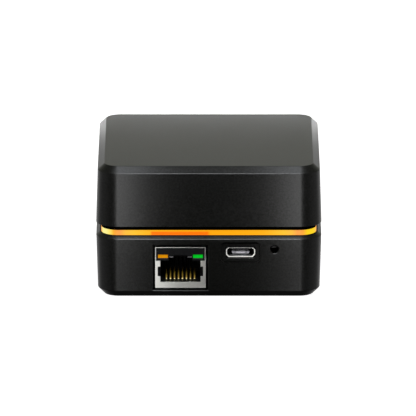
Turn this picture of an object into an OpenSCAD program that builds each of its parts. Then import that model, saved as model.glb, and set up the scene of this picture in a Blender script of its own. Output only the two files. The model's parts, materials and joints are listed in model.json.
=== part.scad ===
// Square streaming media player.
// Two drafted plastic shells clamp an amber light ring at the seam. One circuit board sits at
// the seam: its connectors hang below it, and its processor, heat sink and radio stand above it.
// Millimetres. +Z is up, the connector face looks along -Y, and Z = 0 is the table under the feet.

/* [Body] */
// Width and depth of the body at the seam
body_w = 70; // [68:0.5:76]
// Corner radius of the body at the seam
body_r = 7; // [6:0.5:9]
// Lean of the outer walls, in degrees
draft = 1.7; // [1:0.1:2.2]
// Height of the drafted wall of the cover
cover_wall_h = 16.8; // [15:0.1:22]
// Height of the drafted wall of the base
base_wall_h = 16.6; // [16.6:0.1:18]
// Chamfer round the top of the cover and the bottom of the base
edge_chamfer = 2.1; // [1.5:0.1:2.6]
// Chamfer round the top of the base
seam_chamfer = 1.1; // [0.8:0.1:1.2]
// Thickness of the outer walls
wall_t = 2.4; // [2.2:0.1:2.6]
// Thickness of the base's floor and of the cover's roof
floor_t = 2; // [1.8:0.1:2.2]

/* [Light ring] */
// Height of the band of the ring that shows
ring_h = 1.62; // [1.4:0.02:2.2]
// How far the ring stands back from the body's wall at the seam
ring_inset = 1.6; // [1.5:0.1:1.8]
// Thickness of the ring
ring_t = 2.4; // [2.2:0.1:2.6]
// Height of the shadow gap between the ring and the cover's wall
shadow_gap = 1.38; // [0.8:0.02:1.6]

/* [Network socket] */
// Centre of the network socket, left or right of the middle
lan_x = -8.8; // [-9.5:0.1:-8.2]
// Width of the network socket's shield
lan_w = 15.65; // [15.6:0.05:16.2]
// Height of the network socket's shield
lan_h = 13.1; // [13:0.05:13.3]
// Depth of the network socket
lan_d = 21.3; // [20:0.1:22]
// Pitch of the eight spring contacts
lan_pitch = 1.25; // [1.02:0.01:1.3]

/* [Power socket] */
// Centre of the power socket, left or right of the middle
usb_x = 9.85; // [9:0.05:11]
// Width of the power socket over its flared lips
usb_flare_w = 9.1; // [8.6:0.1:9.4]
// Height of the power socket over its flared lips
usb_flare_h = 3.1; // [3.1:0.05:3.2]
// Width of the shallow pocket round the power socket
pocket_w = 12; // [11.5:0.1:12.4]
// Height of the shallow pocket round the power socket
pocket_h = 6.45; // [6:0.05:6.6]
// Depth of the shallow pocket round the power socket
pocket_d = 0.8; // [0.5:0.1:1]

/* [Reset] */
// Centre of the reset pinhole, left or right of the middle
reset_x = 20.4; // [19.8:0.1:21]
// Radius of the reset pinhole
pinhole_r = 1.2; // [0.9:0.05:1.3]
// Travel of the reset plunger
reset_travel = 0.25; // [0.15:0.01:0.3]

/* [Feet and screws] */
// Height of a rubber foot below the base
foot_h = 0.8; // [0.6:0.1:1]
// Radius of a rubber foot
foot_r = 4; // [3.6:0.1:4.4]
// Places of the feet and of the case screws, from the middle
post_xy = 25.2; // [25.1:0.1:25.4]
// Radius of a case screw's shank
screw_r = 1.25; // [1:0.05:1.4]

/* [Hidden] */

$fn = 48;
hull_fn = 32;    // circle segments inside a hull
skin = 0.01;     // thickness of the slices that a hull joins
reach = 1;       // how far a cutter runs past the face that it opens
lean = tan(draft);

// Heights above the table
base_z = foot_h;
base_wall_z = base_z + edge_chamfer;
base_rim_z = base_wall_z + base_wall_h;
ring_z = base_rim_z + seam_chamfer;
lip_z = ring_z + ring_h;
cover_z = lip_z + shadow_gap;
cover_rim_z = cover_z + cover_wall_h;
top_z = cover_rim_z + edge_chamfer;

// Half widths of the body
seam_half = body_w / 2;
foot_half = seam_half - base_wall_h * lean;
roof_half = seam_half - cover_wall_h * lean;
ring_half = seam_half - ring_inset;
lip_half = ring_half - 0.1;
tongue_half = seam_half - wall_t - 0.3;
ring_inner_half = ring_half - ring_t;
inner_r = 4.6;   // corner radius of the cavities and of the ring's tongues

// Board
board_t = 1.6;
board_z = base_rim_z - 2.5;
board_top = board_z + board_t;
board_half = 31.4;
board_r = 3.4;

// Posts, feet and case screws
post_r = 3.2;
boss_r = 3;
screw_hole_r = screw_r + 0.2;
pilot_r = screw_r + 0.03;
head_r = 2.2;
head_h = 2;
foot_pocket = 1.2;
counterbore_r = 2.5;
counterbore_z = base_z + foot_pocket + head_h + 0.2;
screw_top = board_top + 7.5;

// Network socket
lan_face_y = -seam_half + 0.7;
lan_z = board_z - lan_h;
lan_gap = 0.62;              // gap between the socket and the base, all round
shield_t = 0.3;
cavity_w = 12.5;
cavity_z = lan_z + 1.9;
cavity_h = 6.8;
cavity_d = 13.5;
cavity_top = cavity_z + cavity_h;
notch_w = 0.78;
notch_low = lan_z + 3.7;
notch_high = lan_z + 6.85;
latch_wide = 7.3;
latch_narrow = 4.45;
latch_wide_h = 0.98;
latch_narrow_h = 1.7;
latch_d = 9;
led_w = 3.05;
led_h = 1.12;
led_z = cavity_top + 0.77;
led_inner_x = 3.9;
led_sill = 0.3;              // height and depth of the slope under a lamp
tab_x = 2.85;
tab_z = cavity_top + 1;

// Power socket
usb_z = board_z - 1.64;      // centre height of the lips
usb_lip_y = -seam_half + 0.75;
usb_lip_t = 0.4;             // width of the rim that the lips show from the front
usb_flare_d = 0.6;
usb_d = 5.4;
usb_wall = 0.28;
usb_body_w = 8.16;
usb_body_h = 2.85;
usb_body_z = board_z - usb_body_h / 2;
usb_body_y = usb_lip_y + usb_flare_d;
usb_cut_w = usb_flare_w + 0.6;
usb_cut_h = usb_flare_h + 0.6;
tongue_w = 5.6;
tongue_h = 0.75;
tongue_z = usb_z - 0.35;
tongue_y = usb_lip_y + 0.95;

// Reset switch
switch_w = 4.2;
switch_h = 1.3;
switch_d = 2.6;
reset_z = board_z - switch_h / 2;
switch_y = -29.9;            // front face of the housing
plunger_w = 1.8;
plunger_h = 0.86;
plunger_tip_y = switch_y - 1.3;
plunger_back_y = switch_y + 0.95;
flange_w = 2.6;
slide_gap = 0.06;

// Parts on the board's top face
chip_y = 4;                  // centre of the processor and of the heat sink
processor_w = 15;
processor_h = 1.2;
pad_h = 0.5;
sink_w = 30;
sink_base_h = 2.5;
sink_z = board_top + processor_h + pad_h;
fin_count = 9;
fin_t = 1.2;
fin_h = 10;
pin_places = [[-12, -8], [12, 16]];   // heat sink push pins
pin_r = 1;

// Radio
wifi_c = [-22.2, 0];
wifi_w = [11, 14];
plug_places = [[-19.6, -4.6], [-19.6, 4.6]];
coax_r = 0.57;
coax_z = 21.6;               // height at which the cables leave the plugs
antenna_x = 31.75;
antenna_t = 0.4;
antenna_l = 30;
antenna_w = 9;
antenna_z = 27;
coax_left_route = [
    [-19.6, -4.6, coax_z], [-20.5, -6.5, 22.1], [-24, -9.5, 23], [-28, -10, 25], [-30.4, -8, 28],
    [-30.8, -4, 30.2], [-30.8, 0, 30.6]
];
coax_right_route = [
    [-19.6, 4.6, coax_z], [-20, 7, 22.1], [-19.5, 12, 22.4], [-18.5, 18, 22.4], [-14, 21.5, 22.6],
    [-6, 22.5, 23], [4, 22.5, 23], [14, 21.5, 23.4], [20, 17, 24], [25, 12, 26], [29, 7, 28.5],
    [30.8, 3, 30.4], [30.8, 0, 30.6]
];

// ---- Shapes that repeat ----

// A rectangle with round corners, given by its half sizes.
module rounded(half_x, half_y, r) {
    square([2 * half_x, 2 * (half_y - r)], center = true);
    square([2 * (half_x - r), 2 * half_y], center = true);
    for (sx = [-1, 1], sy = [-1, 1])
        translate([sx * (half_x - r), sy * (half_y - r)]) circle(r);
}

// A thin round-cornered slice whose corner centres stay put as its half width changes.
module slice(half, z, corner_half, corner_r) {
    translate([0, 0, z])
        linear_extrude(skin)
            for (sx = [-1, 1], sy = [-1, 1])
                translate([sx * (corner_half - corner_r), sy * (corner_half - corner_r)])
                    circle(corner_r + half - corner_half, $fn = hull_fn);
}

// The space inside a shell, between two heights, with the shell's own lean.
module cavity(z0, half0, z1, half1) {
    hull() {
        slice(half0, z0, tongue_half, inner_r);
        slice(half1, z1 - skin, tongue_half, inner_r);
    }
}

// A square ring between two heights.
module band(outer, outer_r, inner, inner_corner, z0, z1) {
    translate([0, 0, z0])
        difference() {
            linear_extrude(z1 - z0) rounded(outer, outer, outer_r);
            translate([0, 0, -reach])
                linear_extrude(z1 - z0 + 2 * reach) rounded(inner, inner, inner_corner);
        }
}

// Copies of a piece at the four posts.
module at_posts() {
    for (sx = [-1, 1], sy = [-1, 1]) translate([sx * post_xy, sy * post_xy, 0]) children();
}

// A box from its lowest corner to its highest.
module block(low, high) {
    translate(low) cube(high - low);
}

// An outline in X and Z, extruded back along +Y from a front plane.
module front_extrude(y, depth) {
    translate([0, y + depth, 0]) rotate([90, 0, 0]) linear_extrude(depth) children();
}

// A round bar along Y.
module bar_y(x, y0, y1, z, r) {
    translate([x, y1, z]) rotate([90, 0, 0]) cylinder(h = y1 - y0, r = r);
}

// The outline of a bent strip of thickness t along a path in a plane.
function unit(v) = v / norm(v);
function strip_normal(p, i) =
    let (a = p[max(i - 1, 0)], b = p[min(i + 1, len(p) - 1)], d = unit(b - a)) [-d[1], d[0]];
function strip_side(p, offset_by) = [for (i = [0:len(p) - 1]) p[i] + offset_by * strip_normal(p, i)];
function reversed(list) = [for (i = [len(list) - 1:-1:0]) list[i]];
function strip(p, t) = concat(strip_side(p, t / 2), reversed(strip_side(p, -t / 2)));

// Smooth points through a route, and a tube swept along points.
function spline_point(a, b, c, d, t) =
    0.5 * (2 * b + (c - a) * t + (2 * a - 5 * b + 4 * c - d) * t * t
        + (3 * b - a - 3 * c + d) * t * t * t);
function smooth_route(p, steps) = concat(
    [for (i = [0:len(p) - 2], s = [0:steps - 1])
        spline_point(p[max(i - 1, 0)], p[i], p[i + 1], p[min(i + 2, len(p) - 1)], s / steps)],
    [p[len(p) - 1]]
);
function along(p, i) = unit(p[min(i + 1, len(p) - 1)] - p[max(i - 1, 0)]);
function ring_points(p, i, r, sides, up) =
    let (f = along(p, i), side = unit(cross(f, up)), over = cross(side, f))
        [for (k = [0:sides - 1]) p[i] + r * (cos(360 * k / sides) * side + sin(360 * k / sides) * over)];
module tube(p, r, sides, up) {
    n = len(p);
    points = [for (i = [0:n - 1]) each ring_points(p, i, r, sides, up)];
    walls = [for (i = [0:n - 2], k = [0:sides - 1]) each [
        [i * sides + k, i * sides + (k + 1) % sides, (i + 1) * sides + (k + 1) % sides],
        [i * sides + k, (i + 1) * sides + (k + 1) % sides, (i + 1) * sides + k]
    ]];
    start_cap = [[for (k = [sides - 1:-1:0]) k]];
    end_cap = [[for (k = [0:sides - 1]) (n - 1) * sides + k]];
    polyhedron(points, concat(walls, start_cap, end_cap));
}

// ---- Casing ----

module top_cover() {
    color("#1b1b1c")
    difference() {
        union() {
            difference() {
                union() {
                    hull() {
                        slice(seam_half, cover_z, seam_half, body_r);
                        slice(roof_half, cover_rim_z, seam_half, body_r);
                        slice(roof_half - edge_chamfer, top_z - skin, seam_half, body_r);
                    }
                    translate([0, 0, lip_z])
                        linear_extrude(shadow_gap + reach)
                            rounded(lip_half, lip_half, body_r - ring_inset);
                }
                cavity(
                    lip_z - reach, seam_half - wall_t + (cover_z - lip_z + reach) * lean,
                    top_z - floor_t, seam_half - wall_t - (top_z - floor_t - cover_z) * lean
                );
            }
            at_posts() cylinder_between(board_top, top_z - floor_t + 0.5, boss_r);
        }
        at_posts() cylinder(h = screw_top + 1, r = pilot_r);
    }
}

module light_ring() {
    color("#ffa51e")
    union() {
        band(ring_half, body_r - ring_inset, ring_inner_half, 3, ring_z, lip_z);
        band(tongue_half, inner_r, ring_inner_half, 3, ring_z - 1.3, ring_z);
        band(tongue_half, inner_r, ring_inner_half, 3, lip_z, lip_z + 1.4);
    }
}

module base_outside() {
    hull() {
        slice(foot_half - edge_chamfer, base_z, seam_half, body_r);
        slice(foot_half, base_wall_z, seam_half, body_r);
        slice(seam_half, base_rim_z, seam_half, body_r);
        slice(seam_half - seam_chamfer, ring_z - skin, seam_half, body_r);
    }
}

// The socket's window, with a small chamfer round its mouth that follows the wall's lean.
module lan_window() {
    half_w = lan_w / 2 + lan_gap;
    low = lan_z - lan_gap;
    high = board_z + lan_gap;
    bevel = 0.25;
    block([lan_x - half_w, -seam_half - reach, low], [lan_x + half_w, -seam_half + 4, high]);
    translate([lan_x, -seam_half, base_rim_z])
        rotate([draft, 0, 0])
            hull() {
                block([bevel - half_w, 2 * bevel - skin, low - base_rim_z + bevel],
                    [half_w - bevel, 2 * bevel, high - base_rim_z - bevel]);
                block([-half_w - 3 * bevel, -2 * bevel, low - base_rim_z - 3 * bevel],
                    [half_w + 3 * bevel, skin - 2 * bevel, high - base_rim_z + 3 * bevel]);
            }
}

// The shallow pocket round the power socket, and the hole that the socket comes through.
module usb_window() {
    translate([usb_x, 0, usb_z + 0.1])
        front_extrude(-seam_half - reach, reach + pocket_d + 0.1)
            rounded(pocket_w / 2, pocket_h / 2, 1);
    translate([usb_x, 0, usb_z])
        front_extrude(-seam_half - reach, 5)
            polygon(socket_outline(usb_cut_w, usb_cut_h));
}

module pinhole() {
    bevel = 0.25;
    mouth_y = -seam_half + (base_rim_z - reset_z) * lean;
    bar_y(reset_x, -seam_half - reach, -seam_half + 4, reset_z, pinhole_r);
    translate([reset_x, mouth_y + 2 * bevel, reset_z])
        rotate([90, 0, 0])
            cylinder(h = 4 * bevel, r1 = pinhole_r - bevel, r2 = pinhole_r + 3 * bevel);
}

// The board's two own screws: one behind the power socket, one at the middle of the rear edge.
board_screw_places = [[16.2, -21], [0, 27.2]];
board_post_r = 2.3;
board_pilot_r = 0.83;
module at_board_screws() {
    for (p = board_screw_places) translate([p[0], p[1], 0]) children();
}

// Studs that hold the ballast plate.
ballast_half = [20, 14];
ballast_y = 9;
ballast_t = 3;
stud_r = 2.2;
module at_studs() {
    for (sx = [-1, 1]) translate([sx * 15, ballast_y, 0]) children();
}

label_half = [21, 12];
label_t = 0.15;

module base_shell() {
    floor_z = base_z + floor_t;
    color("#1b1b1c")
    difference() {
        union() {
            difference() {
                base_outside();
                cavity(
                    floor_z, foot_half - wall_t + (floor_z - base_wall_z) * lean,
                    ring_z + reach, seam_half - wall_t + (ring_z + reach - base_rim_z) * lean
                );
            }
            at_posts() translate([0, 0, base_z + 0.5]) cylinder(h = board_z - base_z - 0.5, r = post_r);
            at_board_screws()
                translate([0, 0, base_z + 0.5]) cylinder(h = board_z - base_z - 0.5, r = board_post_r);
            at_studs() translate([0, 0, base_z + 0.5]) cylinder(h = floor_t + ballast_t - 0.3, r = stud_r);
        }
        lan_window();
        usb_window();
        pinhole();
        at_posts() {
            translate([0, 0, -reach]) cylinder(h = board_z + 2, r = screw_hole_r);
            translate([0, 0, -reach]) cylinder(h = counterbore_z + reach, r = counterbore_r);
            translate([0, 0, -reach]) cylinder(h = base_z + foot_pocket + reach, r = foot_r + 0.1);
        }
        at_board_screws() translate([0, 0, board_z - 6]) cylinder(h = 8, r = board_pilot_r);
        at_studs() translate([0, 0, floor_z]) cylinder(h = 8, r = board_pilot_r);
        translate([0, 0, base_z - reach])
            linear_extrude(reach + label_t + 0.05) rounded(label_half[0] + 0.2, label_half[1] + 0.2, 2);
    }
}

module rubber_feet() {
    color("#111111")
    at_posts()
        difference() {
            cylinder(h = foot_h + foot_pocket, r = foot_r);
            translate([0, 0, -reach]) cylinder(h = reach + 0.3, r = foot_r - 1.4);
        }
}

module case_screws() {
    recess_r = 1.1;
    color("silver")
    at_posts()
        difference() {
            union() {
                translate([0, 0, counterbore_z - head_h]) cylinder(h = head_h, r = head_r);
                cylinder_between(counterbore_z - 0.2, screw_top, screw_r);
            }
            translate([0, 0, counterbore_z - head_h - reach])
                cylinder(h = reach + 1.1, r = recess_r, $fn = 6);
        }
}

module cylinder_between(z0, z1, r) {
    translate([0, 0, z0]) cylinder(h = z1 - z0, r = r);
}

module rating_label() {
    color("#3a3a3c")
    translate([0, 0, base_z + 0.05])
        linear_extrude(label_t) rounded(label_half[0], label_half[1], 1.8);
}

module ballast_plate() {
    z0 = base_z + floor_t;
    color("slategray")
    translate([0, ballast_y, z0])
        difference() {
            linear_extrude(ballast_t) rounded(ballast_half[0], ballast_half[1], 2);
            for (sx = [-1, 1])
                translate([sx * 15, 0, -reach]) cylinder(h = ballast_t + 2 * reach, r = stud_r + 0.2);
        }
}

module ballast_screws() {
    z0 = base_z + 0.5 + floor_t + ballast_t - 0.3;
    color("silver")
    at_studs()
        difference() {
            union() {
                cylinder_between(z0, z0 + 1.3, 3.4);
                cylinder_between(base_z + floor_t + 0.2, z0 + 0.2, board_pilot_r - 0.03);
            }
            translate([0, 0, z0 + 0.5]) cylinder(h = reach, r = 0.9, $fn = 6);
        }
}

// ---- Board ----

module main_board() {
    color("#12351f")
    difference() {
        translate([0, 0, board_z]) linear_extrude(board_t) rounded(board_half, board_half, board_r);
        at_posts() cylinder(h = top_z, r = screw_hole_r + 0.15);
        at_board_screws() cylinder(h = top_z, r = 1.2);
        for (p = pin_places) translate([p[0], p[1], 0]) cylinder(h = top_z, r = pin_r + 0.2);
        for (p = lan_pin_places) translate([p[0], p[1], 0]) cylinder(h = top_z, r = 0.45, $fn = 24);
    }
}

module board_screws() {
    color("silver")
    at_board_screws()
        difference() {
            union() {
                cylinder_between(board_top, board_top + 1.2, 2);
                cylinder_between(board_z - 5, board_top + 0.2, board_pilot_r - 0.03);
            }
            translate([0, 0, board_top + 0.5]) cylinder(h = reach, r = 0.8, $fn = 6);
        }
}

// ---- Network socket ----

// Signal pins in two staggered rows, as [x, y].
lan_pin_places = [for (i = [0:7]) [lan_x - 4.45 + 1.27 * i, lan_face_y + (i % 2 == 0 ? 14.2 : 16.8)]];

module ethernet_shield() {
    half_w = lan_w / 2;
    color("gainsboro")
    translate([lan_x, 0, 0])
        difference() {
            block([-half_w, lan_face_y, lan_z], [half_w, lan_face_y + lan_d, board_z]);
            // the back of the box is hollow
            block([-half_w + shield_t, lan_face_y + shield_t, lan_z + shield_t],
                [half_w - shield_t, lan_face_y + lan_d - shield_t, board_z - shield_t]);
            // the plug's window in the front face
            block([-cavity_w / 2, lan_face_y - reach, cavity_z],
                [cavity_w / 2, lan_face_y + reach, cavity_top + 0.1]);
            // above it the face is cut away, so that the plastic shows
            block([-half_w + shield_t, lan_face_y - reach, cavity_top],
                [half_w - shield_t, lan_face_y + reach, board_z - shield_t]);
            for (s = [-1, 1])
                translate([s * cavity_w / 2, 0, 0])
                    block([-notch_w, lan_face_y - reach, notch_low],
                        [notch_w, lan_face_y + reach, notch_high]);
            // room for the signal pins through the top
            for (p = lan_pin_places)
                translate([p[0] - lan_x, p[1], board_z - 1]) cylinder(h = 2, r = 0.55, $fn = 24);
        }
}

module ethernet_housing() {
    half_w = lan_w / 2 - shield_t - 0.02;
    front = lan_face_y + shield_t + 0.02;
    top = board_z - shield_t - 0.02;
    slot_w = 0.3;    // half width of a contact's slot
    slot_z = cavity_z - 0.7;
    slot_y = lan_face_y + 15.2;
    color("#161616")
    translate([lan_x, 0, 0])
        difference() {
            block([-half_w, front, lan_z + shield_t + 0.02],
                [half_w, lan_face_y + lan_d - shield_t - 0.02, top]);
            block([-cavity_w / 2, front - reach, cavity_z],
                [cavity_w / 2, lan_face_y + cavity_d, cavity_top]);
            block([-latch_wide / 2, front - reach, cavity_top - 0.1],
                [latch_wide / 2, lan_face_y + latch_d, cavity_top + latch_wide_h]);
            block([-latch_narrow / 2, front - reach, cavity_top - 0.1],
                [latch_narrow / 2, lan_face_y + latch_d, cavity_top + latch_narrow_h]);
            // side pockets behind the shield's notches
            block([-cavity_w / 2 - notch_w, front - reach, notch_low],
                [cavity_w / 2 + notch_w, lan_face_y + 1.6, notch_high]);
            for (s = [-1, 1]) {
                translate([s * (led_inner_x + led_w / 2), 0, 0]) led_hole(front);
                translate([s * tab_x, 0, 0])
                    block([-0.62, front - reach, tab_z - 0.02], [0.62, front + 0.8, tab_z + 0.32]);
            }
            // slots that the contacts slide in
            for (i = [0:7])
                translate([(i - 3.5) * lan_pitch, 0, 0]) {
                    block([-slot_w, lan_face_y + 2.2, slot_z], [slot_w, slot_y, cavity_z + 0.1]);
                    block([-slot_w, lan_face_y + cavity_d - 0.1, slot_z], [slot_w, slot_y, cavity_z + 4.6]);
                }
        }
}

// The hole for a lamp, with a sloping sill in front of it.
module led_hole(front) {
    half_w = led_w / 2 + 0.02;
    low = led_z - 0.02;
    block([-half_w, front - reach, low], [half_w, front + 3.02, led_z + led_h + 0.02]);
    translate([-half_w, 0, 0])
        rotate([90, 0, 90])
            linear_extrude(2 * half_w)
                polygon([
                    [front + led_sill, low], [front - led_sill, low - 2 * led_sill],
                    [front - led_sill, low + led_sill], [front + led_sill, low + led_sill]
                ]);
}

// Eight gold springs: each comes up from the floor near the mouth and slopes back and up.
module ethernet_contacts() {
    y = lan_face_y;
    z = cavity_z;
    path = [
        [y + 6.2, z - 0.4], [y + 3.2, z - 0.38], [y + 2.75, z], [y + 2.85, z + 0.45],
        [y + 3.3, z + 0.75], [y + 9.5, z + 2.2], [y + 14.6, z + 3.4]
    ];
    color("gold")
    for (i = [0:7])
        translate([lan_x + (i - 3.5) * lan_pitch - 0.21, 0, 0])
            rotate([90, 0, 90]) linear_extrude(0.42) polygon(strip(path, 0.32));
}

module ethernet_led(side) {
    translate([lan_x + side * (led_inner_x + led_w / 2), 0, 0])
        block([-led_w / 2, lan_face_y + shield_t + 0.02 + led_sill, led_z],
            [led_w / 2, lan_face_y + shield_t + 3, led_z + led_h]);
}

module ethernet_led_amber() {
    color("orange") ethernet_led(-1);
}

module ethernet_led_green() {
    color("limegreen") ethernet_led(1);
}

// Two plated tabs beside the latch's slot.
module ethernet_latch_tabs() {
    front = lan_face_y + shield_t + 0.02;
    color("silver")
    for (s = [-1, 1])
        translate([lan_x + s * tab_x, 0, 0])
            block([-0.58, front - 0.05, tab_z], [0.58, front + 0.7, tab_z + 0.3]);
}

module ethernet_pins() {
    color("gold")
    for (p = lan_pin_places)
        translate([p[0], p[1], board_z - 0.31]) cylinder(h = board_t + 1.2, r = 0.28, $fn = 24);
}

// ---- Power socket ----

// Outline of the socket in X and Z: small cuts at the top corners, deeper ones at the bottom.
function socket_outline(w, h) =
    let (
        x = w / 2, z = h / 2,
        top_x = 0.115 * w, top_z = 0.19 * h, low_x = 0.1 * w, low_z = 0.36 * h
    )
    [
        [-x, z - top_z], [-x + top_x, z], [x - top_x, z], [x, z - top_z],
        [x, -z + low_z], [x - low_x, -z], [-x + low_x, -z], [-x, -z + low_z]
    ];

module usb_shell() {
    inner_w = usb_body_w - 2 * usb_wall;
    inner_h = usb_body_h - 2 * usb_wall;
    mouth_w = usb_flare_w - 2 * usb_lip_t;
    mouth_h = usb_flare_h - 2 * usb_lip_t;
    color("gainsboro")
    translate([usb_x, 0, 0])
        difference() {
            union() {
                translate([0, 0, usb_body_z])
                    front_extrude(usb_body_y, usb_d) polygon(socket_outline(usb_body_w, usb_body_h));
                hull() {
                    translate([0, 0, usb_body_z])
                        front_extrude(usb_body_y, skin) polygon(socket_outline(usb_body_w, usb_body_h));
                    translate([0, 0, usb_z])
                        front_extrude(usb_lip_y, skin) polygon(socket_outline(usb_flare_w, usb_flare_h));
                }
            }
            translate([0, 0, usb_body_z])
                front_extrude(usb_body_y - skin, usb_d - usb_wall) polygon(socket_outline(inner_w, inner_h));
            hull() {
                translate([0, 0, usb_body_z])
                    front_extrude(usb_body_y, skin) polygon(socket_outline(inner_w, inner_h));
                translate([0, 0, usb_z])
                    front_extrude(usb_lip_y - skin, skin) polygon(socket_outline(mouth_w, mouth_h));
            }
        }
}

module usb_tongue() {
    back_y = usb_body_y + usb_d - usb_wall - 0.02;
    slope = 0.35;
    color("#2b2b2d")
    translate([usb_x, 0, tongue_z])
        difference() {
            union() {
                front_extrude(tongue_y, back_y - tongue_y)
                    polygon([
                        [-tongue_w / 2, tongue_h / 2], [tongue_w / 2, tongue_h / 2],
                        [tongue_w / 2 - slope, -tongue_h / 2], [-tongue_w / 2 + slope, -tongue_h / 2]
                    ]);
                translate([0, 0, usb_body_z - tongue_z])
                    block([-tongue_w / 2, back_y - 1, -usb_body_h / 2 + usb_wall + 0.15],
                        [tongue_w / 2, back_y, usb_body_h / 2 - usb_wall - 0.05]);
            }
            for (i = [-2:2])
                translate([i * 0.65, 0, 0])
                    block([-0.16, tongue_y - reach, tongue_h / 2 - 0.2],
                        [0.16, back_y - 1, tongue_h / 2 + 0.1]);
        }
}

module usb_contacts() {
    color("gold")
    for (i = [-2:2])
        translate([usb_x + i * 0.65, 0, tongue_z])
            block([-0.15, tongue_y - 0.04, tongue_h / 2 - 0.19], [0.15, tongue_y + 3, tongue_h / 2 + 0.03]);
}

// ---- Reset switch ----

module reset_switch_housing() {
    z = reset_z;
    color("#202022")
    translate([reset_x, 0, 0])
        difference() {
            block([-switch_w / 2, switch_y, z - switch_h / 2],
                [switch_w / 2, switch_y + switch_d, z + switch_h / 2]);
            // guide slot for the stem
            block([-plunger_w / 2 - slide_gap, switch_y - reach, z - plunger_h / 2 - slide_gap],
                [plunger_w / 2 + slide_gap, switch_y + 1, z + plunger_h / 2 + slide_gap]);
            // chamber for the flange and the dome
            block([-flange_w / 2 - 0.3, switch_y + 0.5, z - plunger_h / 2 - slide_gap],
                [flange_w / 2 + 0.3, switch_y + 2, z + plunger_h / 2 + slide_gap]);
        }
}

// Steel frame that wraps the underside and the sides of the switch.
module reset_switch_frame() {
    t = 0.15;
    half = switch_w / 2 + 0.02;
    low = reset_z - switch_h / 2 - 0.02;
    color("silver")
    translate([reset_x, 0, 0])
        difference() {
            block([-half - t, switch_y + 0.2, low - t],
                [half + t, switch_y + switch_d - 0.2, board_z - 0.3]);
            block([-half, switch_y - reach, low], [half, switch_y + switch_d + reach, board_z + reach]);
        }
}

// Snap dome, bowed towards the plunger: its crown is just past the end of the plunger's travel.
module reset_dome() {
    y = plunger_back_y + reset_travel + 0.56;
    color("silver")
    translate([reset_x, 0, reset_z - plunger_h / 2])
        linear_extrude(plunger_h)
            polygon(strip(
                [[-1.3, y], [-0.9, y - 0.2], [-0.45, y - 0.38], [0, y - 0.45],
                    [0.45, y - 0.38], [0.9, y - 0.2], [1.3, y]],
                0.1
            ));
}

module reset_plunger() {
    color("#2a2a2a")
    translate([reset_x, 0, reset_z]) {
        block([-plunger_w / 2, plunger_tip_y, -plunger_h / 2],
            [plunger_w / 2, plunger_back_y, plunger_h / 2]);
        block([-flange_w / 2, switch_y + 0.54, -plunger_h / 2],
            [flange_w / 2, plunger_back_y, plunger_h / 2]);
    }
}

// ---- Parts on the board ----

// A flat part on the board's top face, by its centre and size.
module on_top(c, size) {
    translate([c[0], c[1], board_top]) linear_extrude(size[2]) square([size[0], size[1]], center = true);
}

// A flat part under the board.
module under_board(c, size) {
    translate([c[0], c[1], board_z - size[2]])
        linear_extrude(size[2]) square([size[0], size[1]], center = true);
}

module processor() {
    color("#1d1d1f")
    union() {
        on_top([0, chip_y], [processor_w, processor_w, 0.5]);
        on_top([0, chip_y], [processor_w - 2.4, processor_w - 2.4, processor_h]);
    }
}

module thermal_pad() {
    color("lightgray")
    translate([0, chip_y, board_top + processor_h])
        linear_extrude(pad_h) square(processor_w - 2.4, center = true);
}

module heat_sink() {
    fin_pitch = (sink_w - fin_t) / (fin_count - 1);
    color("lightslategray")
    difference() {
        translate([0, chip_y, sink_z])
            union() {
                translate([-sink_w / 2, -sink_w / 2, 0]) cube([sink_w, sink_w, sink_base_h]);
                for (i = [0:fin_count - 1])
                    translate([-sink_w / 2 + i * fin_pitch, -sink_w / 2, 0])
                        cube([fin_t, sink_w, sink_base_h + fin_h]);
            }
        for (p = pin_places) {
            translate([p[0], p[1], sink_z - reach]) cylinder(h = sink_base_h + 2 * reach, r = pin_r + 0.25);
            translate([p[0], p[1], sink_z + sink_base_h]) cylinder(h = fin_h + reach, r = 3.1);
        }
    }
}

pin_head_z = sink_z + sink_base_h + 5.2;
module heat_sink_pins() {
    barb_z = board_z - 1.4;
    color("ivory")
    for (p = pin_places)
        translate([p[0], p[1], 0]) {
            cylinder_between(barb_z, pin_head_z + 0.2, pin_r);
            cylinder_between(pin_head_z, pin_head_z + 1, 2.3);
            cylinder_between(barb_z, board_z - 0.1, pin_r + 0.5);
        }
}

module heat_sink_springs() {
    turns = 4;
    steps = 16;
    wire_r = 0.2;
    coil_r = 1.7;
    rise = pin_head_z - sink_z - sink_base_h - 2 * wire_r - 0.08;
    z0 = sink_z + sink_base_h + wire_r + 0.04;
    color("silver")
    for (p = pin_places)
        tube(
            [for (k = [0:turns * steps])
                let (a = 360 * k / steps)
                    [p[0] + coil_r * cos(a), p[1] + coil_r * sin(a), z0 + rise * k / (turns * steps)]],
            wire_r, 6, [0, 0, 1]
        );
}

module memory_chips() {
    color("#1d1d1f")
    for (y = [-4, 8]) on_top([22, y], [9, 10.5, 1]);
}

module flash_chip() {
    color("#1d1d1f") on_top([-10.5, 24.6], [13, 6.5, 1]);
}

module ethernet_phy() {
    color("#1d1d1f") on_top([lan_x, -13.8], [6, 5.6, 0.85]);
}

module power_regulator() {
    color("#1d1d1f") on_top([9.5, -16.5], [5, 5, 0.9]);
}

module power_inductors() {
    color("#4a4a4c")
    for (p = [[4, -21.5], [9.5, -24]]) on_top(p, [4, 4, 2]);
}

module bulk_capacitors() {
    color("#c9b27a")
    for (x = [20, 24.5]) under_board([x, 6], [3.5, 2.8, 1.9]);
}

module chip_capacitors() {
    color("#b79c78")
    for (x = [-1, 1.5, 4, 6.5], y = [-13.2, 21.2]) on_top([x, y], [1.6, 0.8, 0.8]);
}

module crystal() {
    color("silver") on_top([14.5, 23.5], [3.2, 2.5, 0.75]);
}

// Side-firing lamps that shine into the ring's lower tongue.
led_edge = 30.1;
module ring_leds() {
    color("white")
    for (a = [0:90:270], s = [-18, -9, 0, 9, 18])
        rotate([0, 0, a]) on_top([s, led_edge], [3, 1.1, 0.9]);
}

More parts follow.
